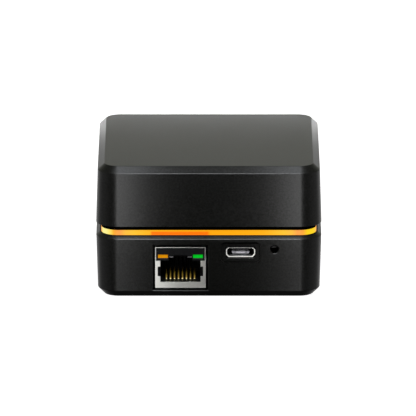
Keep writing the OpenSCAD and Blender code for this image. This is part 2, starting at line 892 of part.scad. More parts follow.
module led_driver() {
    color("#1d1d1f") on_top([8.4, 25.3], [4, 4, 0.85]);
}

// ---- Radio ----

module wifi_module_board() {
    color("#12351f") on_top(wifi_c, [wifi_w[0], wifi_w[1], 0.8]);
}

module wifi_module_shield() {
    t = 0.2;
    z = board_top + 0.8;
    size = [6.6, wifi_w[1] - 1, 1.5];
    color("silver")
    translate([wifi_c[0] - 2, wifi_c[1], z])
        difference() {
            linear_extrude(size[2]) square([size[0], size[1]], center = true);
            translate([0, 0, -reach])
                linear_extrude(size[2] - t + reach)
                    square([size[0] - 2 * t, size[1] - 2 * t], center = true);
        }
}

module coax_plugs() {
    z = board_top + 0.8;
    color("gold")
    for (p = plug_places)
        translate([p[0], p[1], z])
            union() {
                cylinder(h = 0.6, r = 1);
                cylinder(h = coax_z - coax_r - 0.02 - z, r = 1.2);
            }
}

module antenna(side) {
    translate([side * antenna_x - antenna_t / 2, -antenna_l / 2, antenna_z])
        cube([antenna_t, antenna_l, antenna_w]);
}

module antenna_left() {
    color("#b8862b") antenna(-1);
}

module antenna_right() {
    color("#b8862b") antenna(1);
}

module antenna_cable_left() {
    color("#2e2e30") tube(smooth_route(coax_left_route, 4), coax_r, 8, [0.3, 0.2, 1]);
}

module antenna_cable_right() {
    color("#2e2e30") tube(smooth_route(coax_right_route, 4), coax_r, 8, [0.3, 0.2, 1]);
}

// ---- Drawing ----

top_cover();
light_ring();
base_shell();
rubber_feet();
case_screws();
rating_label();
main_board();
board_screws();
ballast_plate();
ballast_screws();
ethernet_shield();
ethernet_housing();
ethernet_contacts();
ethernet_led_amber();
ethernet_led_green();
ethernet_latch_tabs();
ethernet_pins();
usb_shell();
usb_tongue();
usb_contacts();
reset_switch_housing();
reset_switch_frame();
reset_dome();
reset_plunger();
processor();
thermal_pad();
heat_sink();
heat_sink_pins();
heat_sink_springs();
memory_chips();
flash_chip();
ethernet_phy();
power_regulator();
power_inductors();
bulk_capacitors();
chip_capacitors();
crystal();
ring_leds();
led_driver();
wifi_module_board();
wifi_module_shield();
coax_plugs();
antenna_left();
antenna_right();
antenna_cable_left();
antenna_cable_right();
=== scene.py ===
"""The looks of a square streaming media player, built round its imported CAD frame.

The casing, the light ring and the sockets are rebuilt here as finer meshes that stand for their CAD
nodes. Everything else keeps its CAD mesh. Every surface gets a node-based material. Sizes and places
are in millimetres, and are scaled to metres where they enter a mesh, a material or a light.
"""

import json
import math

import bmesh
import bpy
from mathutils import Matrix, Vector


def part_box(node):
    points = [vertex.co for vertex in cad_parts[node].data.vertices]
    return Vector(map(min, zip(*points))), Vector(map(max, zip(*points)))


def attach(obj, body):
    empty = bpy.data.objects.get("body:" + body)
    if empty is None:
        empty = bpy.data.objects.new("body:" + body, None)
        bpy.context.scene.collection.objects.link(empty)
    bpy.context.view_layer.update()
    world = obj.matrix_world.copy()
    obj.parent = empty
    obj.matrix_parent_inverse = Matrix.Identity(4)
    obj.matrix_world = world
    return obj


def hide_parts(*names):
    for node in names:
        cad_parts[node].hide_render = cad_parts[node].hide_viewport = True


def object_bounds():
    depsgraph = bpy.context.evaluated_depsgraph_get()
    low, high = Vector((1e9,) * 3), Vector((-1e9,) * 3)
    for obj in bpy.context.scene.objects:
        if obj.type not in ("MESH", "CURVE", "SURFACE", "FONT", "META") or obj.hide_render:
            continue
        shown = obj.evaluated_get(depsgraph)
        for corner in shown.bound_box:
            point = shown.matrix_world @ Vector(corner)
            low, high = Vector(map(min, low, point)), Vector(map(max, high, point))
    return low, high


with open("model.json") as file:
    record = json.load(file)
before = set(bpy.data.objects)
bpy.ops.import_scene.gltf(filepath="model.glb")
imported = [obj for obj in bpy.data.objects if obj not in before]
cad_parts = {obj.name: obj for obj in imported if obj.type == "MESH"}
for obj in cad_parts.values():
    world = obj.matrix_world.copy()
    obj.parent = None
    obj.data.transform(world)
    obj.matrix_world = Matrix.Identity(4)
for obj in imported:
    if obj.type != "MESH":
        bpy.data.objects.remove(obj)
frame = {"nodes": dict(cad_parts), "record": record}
cad_low, cad_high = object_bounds()

MM = 0.001
scene = bpy.context.scene


def box_mm(node):
    """The low and high corners of a CAD node."""
    low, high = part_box(node)
    return low / MM, high / MM


# ---- Dimensions: the large ones come from the frame, the small ones are those of the CAD ----

base_low, base_high = box_mm("base_shell")
cover_low, cover_high = box_mm("top_cover")
ring_low, ring_high = box_mm("light_ring")
lan_low, lan_high = box_mm("ethernet_shield")
usb_low, usb_high = box_mm("usb_shell")
board_low, board_high = box_mm("main_board")
plunger_low, plunger_high = box_mm("reset_plunger")

# Casing
LEAN = math.tan(math.radians(1.7))
BODY_CENTRE = 28.0       # corner centres of the outsides, from the middle
LIP_CENTRE = 27.9        # corner centres of the cover's lip
CAVITY_CENTRE = 27.7     # corner centres of the insides
CAP_HALF = 20.0          # half width of the flat square in the middle of a floor or roof
CAP_CENTRE = 16.0        # its corner centres
EDGE_CHAMFER = 2.1
SEAM_CHAMFER = 1.1
EDGE_SHIFT = 0.15        # lifts the rounded edges, so that they end where the sharp ones do
WALL_T = 2.4
FLOOR_T = 2.0
REACH = 1.0              # how far a cutter runs past the face that it opens
WINDOW_DEPTH = 4.0       # how far the front windows are cut in, from the seam's widest place

# Light ring
RING_STEP = 0.6          # how much narrower the ring is where it rests on the base
RING_TONGUE_H = 1.4      # height of its upper tongue
TONGUE_HALF = 32.3
RING_INNER_HALF = 31.0
SHADOW_GAP = 1.38

# Posts, feet and screws
FOOT_R = 4.0
POST_R, BOSS_R, BOARD_POST_R, STUD_R = 3.2, 3.0, 2.3, 2.2
FOOT_POCKET_R, FOOT_POCKET_TOP = 4.1, 1.2    # tops are heights above the base's underside
HEAD_POCKET_R, HEAD_POCKET_TOP = 2.5, 3.4
SCREW_HOLE_R = 1.45
PILOT_R, PILOT_H = 1.28, 8.5
SMALL_PILOT_R, SMALL_PILOT_H = 0.83, 6.0
STUD_TOP = 5.2
BOARD_POSTS = [(16.2, -21.0), (0.0, 27.2)]
STUDS = [(-15.0, 9.0), (15.0, 9.0)]
LABEL_HALF_X, LABEL_HALF_Y, LABEL_R, LABEL_DEPTH = 21.2, 12.2, 2.0, 0.2

# Network socket
LAN_GAP = 0.62           # gap between the socket and the base, all round
LAN_BEVEL = 0.33         # bevel round its window
LAMP_BAND = 8.72         # where the band that holds the lamps starts, above the shield's underside
SIDE_STRIP = 0.12        # widths of the shield's edges beside and over that band, from the front
TOP_STRIP = 0.24

# Power socket
USB_H = 3.1
USB_GAP = 0.3            # gap beside and above the socket
USB_SLOPE = [(0.6, 0.84), (1.32, 0.12), (WINDOW_DEPTH, 0.12)]    # depths, and the gaps below there
POCKET_HALF_X, POCKET_HALF_Z, POCKET_R, POCKET_DEPTH = 6.0, 3.225, 1.0, 0.9

# Pinhole
PINHOLE_R, PINHOLE_BEVEL = 1.2, 0.3

seam_half = base_high.x
base_z = base_low.z
ring_z = base_high.z
base_rim_z = ring_z - SEAM_CHAMFER
base_wall_z = base_z + EDGE_CHAMFER
foot_half = seam_half - (base_rim_z - base_wall_z) * LEAN
floor_z = base_z + FLOOR_T
lip_z = ring_high.z - RING_TONGUE_H
cover_z = lip_z + SHADOW_GAP
top_z = cover_high.z
roof_z = top_z - FLOOR_T
cover_rim_z = top_z - EDGE_CHAMFER
roof_half = seam_half - (cover_rim_z - cover_z) * LEAN
ring_half = ring_high.x
lip_half = ring_half - 0.1
board_z = board_low.z
board_top = board_high.z
post_xy = box_mm("rubber_feet")[1].x - FOOT_R
posts = [(side_x * post_xy, side_y * post_xy) for side_x in (-1, 1) for side_y in (-1, 1)]

lan_x = (lan_low.x + lan_high.x) / 2
lan_half = (lan_high.x - lan_low.x) / 2
lan_y = lan_low.y
usb_x = (usb_low.x + usb_high.x) / 2
usb_w = usb_high.x - usb_low.x
usb_z = usb_low.z + USB_H / 2
usb_y = usb_low.y
pocket_z = usb_z + 0.1
pin_x = (plunger_low.x + plunger_high.x) / 2
pin_z = (plunger_low.z + plunger_high.z) / 2


def wall_y(z):
    """Where the front of the base stands at a height."""
    return -(seam_half - (base_rim_z - z) * LEAN)


def cover_cavity_half(z):
    """Half the width of the cover's inside at a height."""
    return seam_half - WALL_T - (z - cover_z) * LEAN


def base_cavity_half(z):
    """Half the width of the base's inside at a height."""
    return foot_half - WALL_T + (z - base_wall_z) * LEAN


# ---- Outlines ----

CORNER_STEPS = 18
OUTLINE_STEPS = 8
CIRCLE_SIDES = 40
QUARTERS = ((1, 1), (-1, 1), (-1, -1), (1, -1))


def arcs(centre_x, centre_y, r, steps):
    """Points round a rectangle whose corners are arcs about (+-centre_x, +-centre_y)."""
    points = []
    for quarter, (side_x, side_y) in enumerate(QUARTERS):
        for i in range(steps + 1):
            a = math.radians(90 * quarter + 90 * i / steps)
            points.append((side_x * centre_x + r * math.cos(a), side_y * centre_y + r * math.sin(a)))
    return points


def rounded_outline(half_x, half_y, r):
    return arcs(half_x - r, half_y - r, r, OUTLINE_STEPS)


def circle(r):
    angles = [2 * math.pi * k / CIRCLE_SIDES for k in range(CIRCLE_SIDES)]
    return [(r * math.cos(a), r * math.sin(a)) for a in angles]


def rectangle(low_x, high_x, low_z, high_z, grow=0.0):
    return [
        (high_x + grow, high_z + grow), (low_x - grow, high_z + grow),
        (low_x - grow, low_z - grow), (high_x + grow, low_z - grow),
    ]


def socket_outline(w, h, shift=0.0):
    """The power socket's eight-sided outline: small cuts above, deeper ones below."""
    x, high, low = w / 2, h / 2 + shift, -h / 2 + shift
    upper_x, upper_z = 0.085 * w, 0.19 * h
    lower_x, lower_z = 0.082 * w, 0.27 * h
    return [
        (-x, high - upper_z), (-x + upper_x, high), (x - upper_x, high), (x, high - upper_z),
        (x, low + lower_z), (x - lower_x, low), (-x + lower_x, low), (-x, low + lower_z),
    ]


def filleted(path, steps=4):
    """A path of (half width, z, corner centre, fillet radius), with each corner rounded."""
    rounded = []
    for i, (half, z, centre, fillet) in enumerate(path):
        if not fillet or i in (0, len(path) - 1):
            rounded.append((half, z, centre))
            continue
        corner = Vector((half, z))
        before = Vector(path[i - 1][:2]) - corner
        after = Vector(path[i + 1][:2]) - corner
        turn = before.angle(after) / 2
        back = min(fillet / math.tan(turn), 0.45 * before.length, 0.45 * after.length)
        inwards = (before.normalized() + after.normalized()).normalized()
        middle = corner + inwards * (back * math.tan(turn) / math.sin(turn))
        start = corner + before.normalized() * back - middle
        sweep = start.angle_signed(corner + after.normalized() * back - middle)
        for k in range(steps + 1):
            c, s = math.cos(-sweep * k / steps), math.sin(-sweep * k / steps)
            point = middle + Vector((start.x * c - start.y * s, start.x * s + start.y * c))
            rounded.append((point.x, point.y, centre))
    return rounded


def cap(z):
    """The flat square in the middle of a floor or roof, as a point of a path."""
    return CAP_HALF, z, CAP_CENTRE, 0


# ---- Meshes ----

def mesh_object(name, bm):
    """An object in the scene with the faces of a bmesh, which is then freed."""
    mesh = bpy.data.meshes.new(name)
    bm.to_mesh(mesh)
    bm.free()
    obj = bpy.data.objects.new(name, mesh)
    scene.collection.objects.link(obj)
    return obj


def loft(name, rings, closed=False):
    """A closed mesh through rings of points: capped at both ends, or joined end to start."""
    bm = bmesh.new()
    loops = [[bm.verts.new(point * MM) for point in ring] for ring in rings]
    count = len(loops[0])
    pairs = list(zip(loops, loops[1:]))
    if closed:
        pairs.append((loops[-1], loops[0]))
    else:
        bm.faces.new(loops[0])
        bm.faces.new(reversed(loops[-1]))
    for a, b in pairs:
        for i in range(count):
            j = (i + 1) % count
            bm.faces.new((a[i], a[j], b[j], b[i]))
    bmesh.ops.recalc_face_normals(bm, faces=bm.faces)
    return mesh_object(name, bm)


def square_loft(name, path, closed=False):
    """A loft through level squares with round corners, along a path that filleted() takes."""
    return loft(name, [
        [Vector((x, y, z)) for x, y in arcs(centre, centre, half - centre, CORNER_STEPS)]
        for half, z, centre in filleted(path)
    ], closed)


def upright_loft(name, x, y, stations):
    """A solid about a vertical line, through (height, outline) stations."""
    return loft(name, [[Vector((x + u, y + v, z)) for u, v in outline] for z, outline in stations])


def front_loft(name, x, z, stations):
    """A solid along Y through outlines in X and Z, given as (y or a function of z, outline)."""
    return loft(name, [
        [Vector((x + u, y(z + v) if callable(y) else y, z + v)) for u, v in outline]
        for y, outline in stations
    ])


def lathe(name, x, y, steps):
    """A turned solid about a vertical line, from (height, radius) steps."""
    return upright_loft(name, x, y, [(z, circle(r)) for z, r in steps])


def baked(obj):
    """Applies an object's modifiers to its mesh."""
    graph = bpy.context.evaluated_depsgraph_get()
    made = bpy.data.meshes.new_from_object(obj.evaluated_get(graph))
    obj.modifiers.clear()
    old, obj.data = obj.data, made
    bpy.data.meshes.remove(old)
    return obj


def combine(obj, tools, operation):
    """Adds solids to a mesh or cuts them out of it, one at a time, and removes them."""
    for tool in tools:
        change = obj.modifiers.new("combine", "BOOLEAN")
        change.operation = operation
        change.solver = "EXACT"
        change.object = tool
        baked(obj)
        bpy.data.objects.remove(tool)
    return obj


def joined(name, parts):
    """One object out of several solids that don't touch."""
    bm = bmesh.new()
    for part in parts:
        bm.from_mesh(part.data)
        bpy.data.objects.remove(part)
    return mesh_object(name, bm)


def shade(obj, sharp_over=28.0):
    """Smooth faces, sharp edges over an angle, and normals weighted towards the flat faces."""
    bm = bmesh.new()
    bm.from_mesh(obj.data)
    bmesh.ops.remove_doubles(bm, verts=bm.verts, dist=1e-7)
    for face in bm.faces:
        face.smooth = True
    for edge in bm.edges:
        edge.smooth = len(edge.link_faces) == 2 and edge.calc_face_angle(0) < math.radians(sharp_over)
    bm.to_mesh(obj.data)
    bm.free()
    weighted = obj.modifiers.new("weighted", "WEIGHTED_NORMAL")
    weighted.keep_sharp = True
    weighted.weight = 90
    return obj


def softened(node, name, width):
    """A copy of a CAD node with every sharp edge slightly rounded."""
    bm = bmesh.new()
    bm.from_mesh(frame["nodes"][node].data)
    bmesh.ops.remove_doubles(bm, verts=bm.verts, dist=2e-6)
    bmesh.ops.dissolve_limit(bm, angle_limit=math.radians(0.5), verts=bm.verts, edges=bm.edges)
    for face in bm.faces:
        face.material_index = 0
    obj = mesh_object(name, bm)
    bevel = obj.modifiers.new("round", "BEVEL")
    bevel.width = width * MM
    bevel.segments = 2
    bevel.limit_method = "ANGLE"
    bevel.angle_limit = math.radians(30)
    return shade(baked(obj), 35)


# ---- Materials: colours are (red, green, blue) from 0 to 255, as they look ----

def linear(r, g, b):
    """A colour in the numbers that shaders use."""
    def one(v):
        v /= 255
        return v / 12.92 if v <= 0.04045 else ((v + 0.055) / 1.055) ** 2.4
    return one(r), one(g), one(b), 1.0


def add_node(tree, kind, inputs=None, **settings):
    """Makes a node. A value is set on its socket, and a socket is linked to it."""
    made = tree.nodes.new(kind)
    for key, value in settings.items():
        setattr(made, key, value)
    for key, value in (inputs or {}).items():
        if isinstance(value, bpy.types.NodeSocket):
            tree.links.new(value, made.inputs[key])
        else:
            made.inputs[key].default_value = value
    return made


class Surface:
    """A material that is put together from nodes."""

    def __init__(self, name):
        self.material = bpy.data.materials.new(name)
        self.material.use_nodes = True
        self.tree = self.material.node_tree
        self.tree.nodes.clear()
        self.out = self.add("ShaderNodeOutputMaterial")
        self.place = self.add("ShaderNodeTexCoord").outputs["Object"]
        self.axes = self.add("ShaderNodeSeparateXYZ", {0: self.place}).outputs

    def add(self, kind, inputs=None, **settings):
        return add_node(self.tree, kind, inputs, **settings)

    def math(self, operation, *values):
        return self.add("ShaderNodeMath", dict(enumerate(values)), operation=operation).outputs[0]

    def product(self, first, *others):
        for value in others:
            first = self.math("MULTIPLY", first, value)
        return first

    def largest(self, first, *others):
        for value in others:
            first = self.math("MAXIMUM", first, value)
        return first

    def rest(self, share):
        """What a share leaves of 1."""
        return self.math("SUBTRACT", 1.0, share)

    def blend(self, a, b, share):
        """Noise a with a share of noise b."""
        return self.math("MULTIPLY_ADD", a, 1 - share, self.math("MULTIPLY", b, share))

    def noise(self, size, detail=3.0, stretch=(1, 1, 1), rough=0.55):
        """Noise from 0 to 1 whose features are about size millimetres across."""
        place = self.place
        if stretch != (1, 1, 1):
            place = self.add("ShaderNodeMapping", {"Vector": place, "Scale": stretch}).outputs[0]
        return self.add("ShaderNodeTexNoise", {
            "Vector": place, "Scale": 1000.0 / size, "Detail": detail, "Roughness": rough,
        }).outputs["Fac"]

    def span(self, value, low, high, start=0.3, end=0.7):
        """Maps a value from start to end onto low to high, and holds it outside them."""
        return self.add("ShaderNodeMapRange", {
            "Value": value, "From Min": start, "From Max": end, "To Min": low, "To Max": high,
        }).outputs[0]

    def ramp(self, value, stops):
        made = self.add("ShaderNodeValToRGB", {"Fac": value})
        while len(made.color_ramp.elements) < len(stops):
            made.color_ramp.elements.new(0.5)
        for element, (position, colour) in zip(made.color_ramp.elements, stops):
            element.position = position
            element.color = linear(*colour)
        return made.outputs["Color"]

    def mix(self, share, a, b, kind="MIX"):
        """Colour a with a share of colour b. A colour is a triple or another node's output."""
        a, b = (linear(*c) if isinstance(c, tuple) else c for c in (a, b))
        made = self.add("ShaderNodeMix", {0: share, 6: a, 7: b}, data_type="RGBA", blend_type=kind)
        return made.outputs[2]

    def below(self, axis, limit, blur):
        """1 under a limit on an axis, 0 over it, and a blend between them that is blur wide."""
        start, end = (limit - blur / 2) * MM, (limit + blur / 2) * MM
        return self.span(self.axes[axis], 1.0, 0.0, start, end)

    def above(self, axis, limit, blur):
        return self.rest(self.below(axis, limit, blur))

    def inside(self, low, high):
        """1 inside a box, 0 outside it."""
        value = 1.0
        for axis, start, end in zip(self.axes, low, high):
            over = self.math("GREATER_THAN", axis, start * MM)
            under = self.math("LESS_THAN", axis, end * MM)
            value = self.math("MULTIPLY", self.math("MULTIPLY", over, under), value)
        return value

    def around(self, x, z, radius):
        """1 on the front half, nearer than radius to the line along Y through x and z, else 0."""
        u = self.math("SUBTRACT", self.axes["X"], x * MM)
        v = self.math("SUBTRACT", self.axes["Z"], z * MM)
        square = self.math("MULTIPLY_ADD", u, u, self.math("MULTIPLY", v, v))
        near = self.math("LESS_THAN", square, (radius * MM) ** 2)
        return self.math("MULTIPLY", near, self.math("LESS_THAN", self.axes["Y"], 0.0))

    def bump(self, height, depth):
        return self.add("ShaderNodeBump", {
            "Height": height, "Distance": depth * MM, "Strength": 1.0,
        }).outputs["Normal"]

    def finish(self, **inputs):
        """Ends in one shader. Underscores in the names of its inputs stand for spaces."""
        names = {key.replace("_", " "): value for key, value in inputs.items()}
        principled = self.add("ShaderNodeBsdfPrincipled", names)
        self.tree.links.new(principled.outputs[0], self.out.inputs["Surface"])
        return self.material


def plastic(name, light, dark, rough=(0.4, 0.5), grain=0.3, depth=0.01, level=0.5, drift_size=6.0):
    """Moulded plastic: slow colour drift, fine grain in the gloss and in the surface."""
    s = Surface(name)
    drift = s.noise(drift_size, 2.0)
    fine = s.noise(grain, 4.0)
    return s.finish(
        Base_Color=s.ramp(s.blend(fine, drift, 0.5), [(0.35, dark), (0.65, light)]),
        Roughness=s.span(fine, *rough),
        Specular_IOR_Level=level,
        Normal=s.bump(fine, depth),
    )


def metal(name, light, dark, rough=(0.25, 0.4), grain=0.15, stretch=(1, 1, 1), depth=0.004,
          painted_shade_boxes=()):
    """Plated or brushed metal, with scratches that run across the stretched axis. Each entry of
    the last argument is the low and high corner of a box, and the grey painted there as shade."""
    s = Surface(name)
    brushed = s.noise(grain, 4.0, stretch)
    cloud = s.noise(3.0, 2.0)
    colour = s.ramp(s.blend(brushed, cloud, 0.5), [(0.3, dark), (0.7, light)])
    for low, high, grey in painted_shade_boxes:
        # painted shade: the metal inside each box takes that box's grey
        colour = s.mix(s.inside(low, high), colour, (grey, grey, grey))
    return s.finish(
        Base_Color=colour,
        Roughness=s.span(brushed, *rough),
        Metallic=1.0,
        Normal=s.bump(brushed, depth),
    )


def shield_material():
    """Nickel plate, with painted shade: the network socket's top face and the power socket's upper
    inside behind its rim are painted dark grey, and its lower inside a lighter grey.
    """
    behind_rim, dark_above = usb_y + 0.06, usb_z - 0.95
    return metal("shield_nickel", (246, 245, 239), (234, 233, 227), rough=(0.3, 0.36), grain=0.2,
                 stretch=(1, 1, 5), depth=0.001, painted_shade_boxes=[
        # painted shade: the network socket's top face, dark grey
        ((lan_x - 9, lan_y - 1, board_z - 0.05), (lan_x + 9, 0, board_z + 1), 24),
        # painted shade: the power socket's upper inside behind its rim, dark grey
        ((usb_x - 5, behind_rim, dark_above), (usb_x + 5, 0, usb_z + 3), 24),
        # painted shade: the power socket's lower inside, a lighter grey
        ((usb_x - 5, behind_rim, usb_z - 3), (usb_x + 5, 0, dark_above), 170),
    ])


def contact_material():
    """Gold springs. Painted shade darkens them further in and on their feet, and a painted
    highlight lights their bends at the mouth.
    """
    s = Surface("contact_gold")
    fine = s.noise(0.2, 2.0)
    start, end = (lan_y + 2.6) * MM, (lan_y + 10.2) * MM
    # painted shade: the springs go from pale gold at the mouth to black further in
    spring_shade = s.ramp(s.span(s.axes["Y"], 0.0, 1.0, start, end), [
        (0.0, (170, 138, 58)), (0.3, (158, 130, 50)), (0.5, (136, 112, 30)),
        (0.65, (98, 78, 14)), (0.82, (44, 32, 4)), (1.0, (1, 1, 0)),
    ])
    # painted highlight: the bends at the mouth are pale yellow
    bend_highlight = s.mix(s.below("Z", lan_low.z + 2.35, 0.06), spring_shade, (250, 236, 168))
    # painted shade: the feet under the bends are nearly black
    foot_shade = s.mix(s.below("Z", lan_low.z + 2.16, 0.04), bend_highlight, (16, 14, 9))
    return s.finish(
        Base_Color=s.mix(1.0, foot_shade, s.span(fine, 0.9, 1.0), "MULTIPLY"),
        Roughness=s.span(fine, 0.35, 0.45),
        Metallic=0.6,
        Normal=s.bump(fine, 0.001),
    )


def tongue_material():
    """Grey plastic with painted highlights in the middle and near both ends of the tongue, and
    painted shade on its lower part.
    """
    s = Surface("tongue_plastic")
    fine = s.noise(0.2, 2.0)
    half = 2.8
    out = s.math("ABSOLUTE", s.math("SUBTRACT", s.axes["X"], usb_x * MM))
    # painted highlights: lighter grey in the middle and near both ends of the tongue
    along = s.ramp(s.math("DIVIDE", out, half * MM), [
        (0.0, (176, 174, 179)), (0.42, (172, 170, 175)), (0.5, (112, 111, 115)),
        (0.68, (100, 99, 103)), (0.76, (140, 139, 143)), (0.92, (132, 131, 135)), (1.0, (60, 60, 62)),
    ])
    # painted shade: darker grey on the tongue's lower part
    colour = s.mix(s.below("Z", usb_z - 0.44, 0.12), along, (104, 103, 106))
    return s.finish(
        Base_Color=s.mix(1.0, colour, s.span(fine, 0.92, 1.0), "MULTIPLY"),
        Roughness=s.span(fine, 0.3, 0.4),
        Normal=s.bump(fine, 0.005),
    )


def window_box(x, half, depth, low_z, high_z):
    """A box in the front wall, which starts at a depth behind the seam's widest place."""
    wall_back_y = -29
    return (x - half, -seam_half + depth, low_z), (x + half, wall_back_y, high_z)


def black_shade_boxes():
    """Boxes round the places on the two shells that are painted black as shade."""
    lan_reach = LAN_GAP + 0.1
    gap_half, gap_high = 5.3, usb_z + 2.2
    pocket_half = POCKET_HALF_X + 0.2
    pocket_low, pocket_high = pocket_z - POCKET_HALF_Z, pocket_z + POCKET_HALF_Z
    return [
        # the shadow gap over the ring
        ((-40, -40, ring_z + 0.1), (40, 40, cover_z - 0.01)),
        # the gap round the network socket
        window_box(lan_x, lan_half + lan_reach, 0.55, lan_low.z - lan_reach, board_z + lan_reach),
        # the gap round the power socket, but not the slope under it
        window_box(usb_x, gap_half, 0.95, usb_z - 1.5, gap_high),
        window_box(usb_x, gap_half, 1.33, usb_z - 2.2, gap_high),
        # the top edge and the lower wall of the power socket's pocket
        window_box(usb_x, pocket_half, 0.25, pocket_high - 0.575, pocket_high + 0.075),
        window_box(usb_x, pocket_half, 0.35, pocket_low - 0.175, pocket_low + 0.015),
    ]


def shell_material():
    """Matte black plastic with a fine moulded texture. Its gaps, windows and pinhole are painted
    black and without sheen, as painted shade.
    """
    s = Surface("shell_matte_black")
    fine = s.noise(0.55, 2.0, rough=0.6)
    drift = s.noise(14.0, 2.0)
    colour = s.ramp(s.blend(fine, drift, 0.4), [(0.35, (5, 5, 4)), (0.65, (10, 10, 9))])
    # painted shade: the pinhole's bore and the upper part of its bevel are painted black too
    upper = s.math("GREATER_THAN", s.axes["Z"], (pin_z + 0.15) * MM)
    bevel = s.product(s.around(pin_x, pin_z, PINHOLE_R + 0.25), upper)
    bore = s.around(pin_x, pin_z, PINHOLE_R + 0.01)
    # painted shade: 1 where the shells are painted black without sheen, else 0
    painted_shade = s.largest(bore, bevel, *[s.inside(low, high) for low, high in black_shade_boxes()])
    # painted shade: the base's sheen is turned down towards the middle of its sides, below the seam
    middle = s.span(s.math("ABSOLUTE", s.axes["X"]), 0.52, 0.0, 0.0, 19 * MM)
    sheen_shade = s.product(middle, s.below("Z", base_rim_z - 0.6, 0.6))
    return s.finish(
        Base_Color=s.mix(painted_shade, colour, (1, 1, 1)),
        Roughness=s.span(fine, 0.3, 0.36),
        Specular_IOR_Level=s.product(s.span(fine, 0.25, 0.355), s.rest(sheen_shade), s.rest(painted_shade)),
        Normal=s.bump(fine, 0.012),
    )


def ring_material():
    """Amber light guide. Its glow runs from orange at the middle of a side to yellow at a corner."""
    s = Surface("ring_amber_glow")
    side_half = 34.0
    out = s.math("MINIMUM", s.math("ABSOLUTE", s.axes["X"]), s.math("ABSOLUTE", s.axes["Y"]))
    glow = s.ramp(s.math("DIVIDE", out, side_half * MM), [
        (0.0, (255, 167, 10)), (0.5, (255, 176, 14)), (0.68, (255, 198, 46)), (0.76, (254, 190, 60)),
        (0.81, (250, 158, 70)), (0.86, (250, 168, 62)), (0.9, (255, 214, 26)), (1.0, (255, 220, 30)),
    ])
    # the guide is thinner over the network socket, and glows a deeper orange there
    patch = s.product(s.above("X", -17.9, 0.6), s.below("X", 0.0, 0.8),
                      s.below("Z", ring_z + 1.15, 0.3), s.below("Y", -33.0, 0.2))
    glow = s.mix(s.product(patch, 0.93), glow, (252, 105, 2))
    # its lamp shines brightest through the corner on the left of the sockets
    corner = s.product(s.below("X", -30.7, 2.2), s.below("Y", -25.5, 2.0), s.above("X", -33.05, 0.5))
    glow = s.mix(s.product(corner, 0.85), glow, (255, 255, 165))
    fine = s.noise(0.5, 3.0)
    streak = s.noise(0.9, 2.0, (1, 1, 3))
    return s.finish(
        Base_Color=s.ramp(fine, [(0.3, (80, 30, 0)), (0.7, (96, 38, 1))]),
        Roughness=s.span(fine, 0.3, 0.4),
        Specular_IOR_Level=0.15,
        Emission_Color=s.mix(s.span(streak, 0.0, 0.12), glow, (255, 205, 60)),
        Emission_Strength=0.95,
        Normal=s.bump(fine, 0.004),
    )


def lens(name, colour, shade_colour):
    """A small tinted lamp window that glows in clouds of two colours."""
    s = Surface(name)
    cloud = s.noise(0.8, 2.0)
    body = s.ramp(cloud, [(0.3, shade_colour), (0.7, colour)])
    return s.finish(
        Base_Color=s.mix(0.6, body, (0, 0, 0)),
        Roughness=s.span(cloud, 0.4, 0.5),
        Specular_IOR_Level=0.05,
        Emission_Color=s.ramp(cloud, [(0.2, shade_colour), (0.55, colour)]),
        Emission_Strength=0.6,
        Normal=s.bump(cloud, 0.01),
    )


def board_material():
    """Green solder mask over a pattern of tracks."""
    s = Surface("board_solder_mask")
    tracks = s.add("ShaderNodeTexBrick", {
        "Vector": s.place, "Scale": 1000.0, "Mortar Size": 0.12, "Brick Width": 2.6, "Row Height": 0.6,
        "Color1": (0, 0, 0, 1), "Color2": (0.25, 0.25, 0.25, 1), "Mortar": (1, 1, 1, 1),
    }).outputs["Color"]
    cloud = s.noise(8.0, 3.0)
    track = s.product(tracks, s.span(cloud, 0.0, 1.0, 0.45, 0.55))
    return s.finish(
        Base_Color=s.ramp(track, [(0.0, (12, 52, 30)), (1.0, (30, 92, 52))]),
        Roughness=s.span(cloud, 0.3, 0.4),
        Normal=s.bump(track, 0.02),
    )


def floor_material():
    """A pale surface that gives off white light, so that its edge can't be seen."""
    s = Surface("floor_pale")
    cloud = s.noise(60.0, 2.0)
    return s.finish(
        Base_Color=s.ramp(cloud, [(0.3, (252, 252, 252)), (0.7, (254, 254, 254))]),
        Roughness=s.span(cloud, 0.8, 0.9),
        Emission_Color=(1.0, 1.0, 1.0, 1.0),
        Emission_Strength=1.0,
    )


